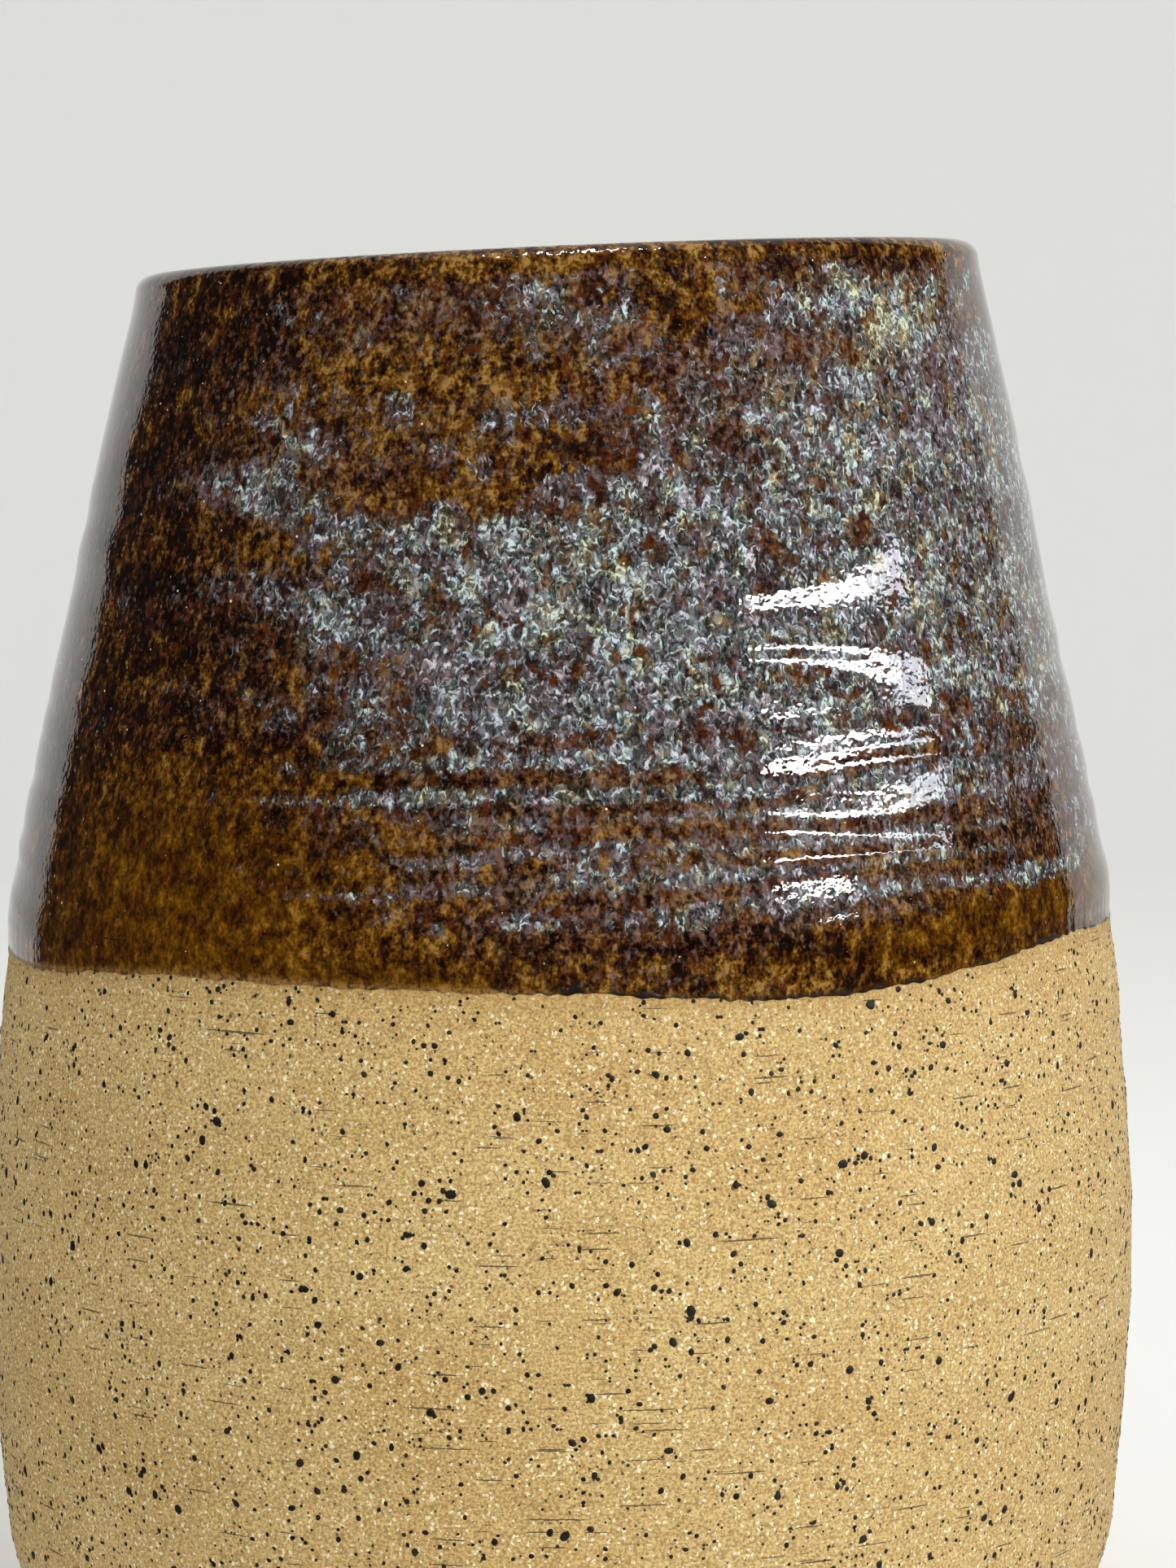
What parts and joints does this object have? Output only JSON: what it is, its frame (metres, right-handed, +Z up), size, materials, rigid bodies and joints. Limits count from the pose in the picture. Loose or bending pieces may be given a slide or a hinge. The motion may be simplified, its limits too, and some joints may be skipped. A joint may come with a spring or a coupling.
{
  "type": "pottery vase",
  "caption": "Hand-thrown stoneware vase, tapered above a rounded belly, upper wall dipped in a glossy mottled glaze, lower wall left as bare speckled clay.",
  "frame": {"origin": "centre of the flat underside of the foot, on the surface that the vase stands on", "axes": "+Z up along the vase's turning axis; +X towards the high side of the rim; -Y is the side that faces the viewer"},
  "size_m": [0.1274, 0.1274, 0.1599],
  "materials": {
    "stoneware_clay": "bare fired buff stoneware, matt, with iron specks, pale grog and trimming lines",
    "outer_glaze": "glossy amber-brown glaze with streaked blue-grey and cream mottling",
    "liner_glaze": "glossy plain amber-brown glaze"
  },
  "bodies": {
    "root": {"clay_body": "stoneware_clay", "outer_glaze": "outer_glaze", "liner_glaze": "liner_glaze"}
  },
  "joints": []
}
